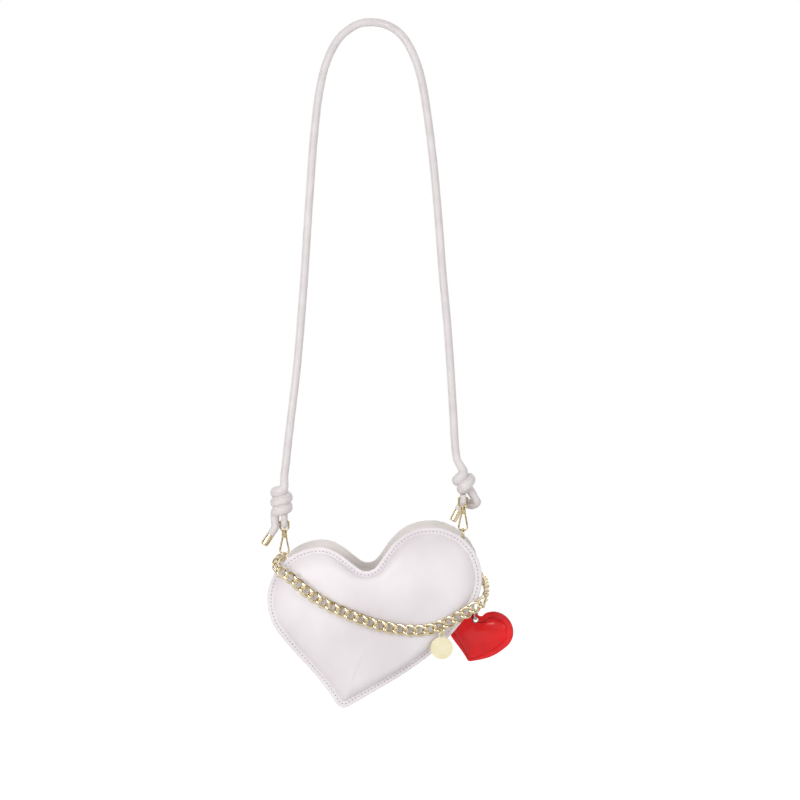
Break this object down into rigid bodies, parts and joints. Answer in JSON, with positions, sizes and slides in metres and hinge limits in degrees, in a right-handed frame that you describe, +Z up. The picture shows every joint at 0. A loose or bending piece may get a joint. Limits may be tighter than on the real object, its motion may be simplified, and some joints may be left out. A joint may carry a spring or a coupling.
{
  "type": "heart_shaped_purse",
  "caption": "Cream leather heart shaped purse with a knotted rope strap, gold clips, a curb chain across the front and a red heart charm",
  "frame": {"origin": "The underside of the strap's rope at its highest point, where a shoulder or a peg carries it", "axes": "+X to the right of the padded front seen from ahead, +Y from the front to the back, +Z up"},
  "size_m": [0.2537, 0.0982, 0.6821],
  "materials": {
    "cream_leather": "smooth satin leather",
    "cream_rope": "round leather covered cord",
    "cream_cloth": "woven lining and zip tape",
    "white_foam": "soft padding",
    "grey_board": "stiff board",
    "gold_metal": "polished pale gold plating",
    "silver_metal": "polished nickel plating",
    "red_patent": "glossy patent leather"
  },
  "bodies": {
    "strap": {"strap_rope": "cream_rope", "left_knot": "cream_rope", "left_knot_core": "cream_rope", "left_rope_loop": "cream_rope", "left_rope_tail": "cream_rope", "left_end_cap": "gold_metal", "right_knot": "cream_rope", "right_knot_core": "cream_rope", "right_rope_loop": "cream_rope", "right_rope_tail": "cream_rope", "right_end_cap": "gold_metal"},
    "left_bail": {"left_hook_bail": "gold_metal"},
    "right_bail": {"right_hook_bail": "gold_metal"},
    "left_hook": {"left_hook_frame": "gold_metal", "left_gate_pin": "gold_metal"},
    "right_hook": {"right_hook_frame": "gold_metal", "right_gate_pin": "gold_metal"},
    "left_gate": {"left_hook_gate": "gold_metal"},
    "right_gate": {"right_hook_gate": "gold_metal"},
    "bag": {"front_panel": "cream_leather", "front_padding": "white_foam", "front_board": "grey_board", "front_lining": "cream_cloth", "gusset": "cream_leather", "gusset_lining": "cream_cloth", "back_panel": "cream_leather", "back_board": "grey_board", "back_lining": "cream_cloth", "inner_pocket": "cream_cloth", "zip_tape": "cream_cloth", "zip_teeth": "gold_metal", "zip_tail_tape": "cream_cloth", "left_strap_tab": "cream_leather", "right_strap_tab": "cream_leather", "chain_tab": "cream_leather"},
    "flap": {"back_flap": "cream_leather", "flap_board": "grey_board", "flap_lining": "cream_cloth", "flap_gusset": "cream_leather", "flap_zip_tape": "cream_cloth", "flap_zip_teeth": "gold_metal"},
    "slider": {"zip_slider": "gold_metal"},
    "pull": {"zip_pull": "gold_metal"},
    "left_ring": {"left_strap_ring": "gold_metal"},
    "right_ring": {"right_strap_ring": "gold_metal"},
    "back_ring": {"chain_ring": "gold_metal"},
    "chain": {"chain_links": "gold_metal", "chain_jump_rings": "gold_metal"},
    "disc": {"disc_charm": "gold_metal", "disc_ring": "gold_metal"},
    "red_heart": {"heart_front": "red_patent", "heart_filling": "white_foam", "heart_back": "red_patent", "heart_eyelet": "gold_metal", "heart_ring": "silver_metal", "heart_link": "silver_metal", "heart_jump_ring": "silver_metal"}
  },
  "joints": [
    {"name": "left_bail_swing", "type": "hinge", "parent": "strap", "child": "left_bail", "pos_m": [-0.08606, 0, -0.49198], "axis": [0.9914, 0, 0.1311], "range_deg": [-25, 25]},
    {"name": "right_bail_swing", "type": "hinge", "parent": "strap", "child": "right_bail", "pos_m": [0.0933, 0, -0.46826], "axis": [0.9914, 0, 0.1311], "range_deg": [-25, 25]},
    {"name": "left_hook_swivel", "type": "hinge", "parent": "left_bail", "child": "left_hook", "pos_m": [-0.08606, 0, -0.49198], "axis": [0, 0, 1], "range_deg": [-30, 30]},
    {"name": "right_hook_swivel", "type": "hinge", "parent": "right_bail", "child": "right_hook", "pos_m": [0.0933, 0, -0.46826], "axis": [0, 0, 1], "range_deg": [-30, 30]},
    {"name": "left_gate_open", "type": "hinge", "parent": "left_hook", "child": "left_gate", "pos_m": [-0.08436, 0, -0.50598], "axis": [0, 1, 0], "range_deg": [0, 25], "stiffness_Nm_per_rad": 0.02},
    {"name": "right_gate_open", "type": "hinge", "parent": "right_hook", "child": "right_gate", "pos_m": [0.095, 0, -0.48226], "axis": [0, 1, 0], "range_deg": [0, 25], "stiffness_Nm_per_rad": 0.02},
    {"name": "bag_swing", "type": "hinge", "parent": "left_bail", "child": "bag", "pos_m": [-0.08606, 0, -0.52488], "axis": [0.9914, 0, 0.1311], "range_deg": [-30, 30]},
    {"name": "left_ring_turn", "type": "hinge", "parent": "bag", "child": "left_ring", "pos_m": [-0.08606, 0, -0.52753], "axis": [1, 0, 0], "range_deg": [-90, 90]},
    {"name": "right_ring_turn", "type": "hinge", "parent": "bag", "child": "right_ring", "pos_m": [0.0933, 0, -0.50382], "axis": [1, 0, 0], "range_deg": [-90, 90]},
    {"name": "back_ring_turn", "type": "hinge", "parent": "bag", "child": "back_ring", "pos_m": [0.10824, 0.038, -0.55348], "axis": [0, 1, 0], "range_deg": [-90, 90]},
    {"name": "chain_lift", "type": "hinge", "parent": "bag", "child": "chain", "pos_m": [-0.08521, -0.00268, -0.5273], "axis": [-0.9695, -0.2076, 0.1303], "range_deg": [0, 45]},
    {"name": "disc_swing", "type": "hinge", "parent": "chain", "child": "disc", "pos_m": [0.07084, -0.03898, -0.59431], "axis": [-0.69, -0.7238, 0], "range_deg": [0, 60]},
    {"name": "heart_swing", "type": "hinge", "parent": "bag", "child": "red_heart", "pos_m": [0.10824, 0.038, -0.56048], "axis": [1, 0, 0], "range_deg": [0, 60]},
    {"name": "slider_travel", "type": "hinge", "parent": "bag", "child": "slider", "pos_m": [-0.04822, 0.02, -0.56726], "axis": [0, 1, 0], "range_deg": [0, 95]},
    {"name": "pull_swing", "type": "hinge", "parent": "slider", "child": "pull", "pos_m": [-0.09572, 0.02, -0.58043], "axis": [0, 1, 0], "range_deg": [-10, 150]},
    {"name": "flap_open", "type": "hinge", "parent": "bag", "child": "flap", "pos_m": [-0.002, 0.033, -0.55517], "axis": [-0.986, 0, -0.1668], "range_deg": [0, 35]}
  ],
  "couplings": [
    {"joint": "right_bail_swing", "follows": "left_bail_swing", "ratio": 1}
  ]
}
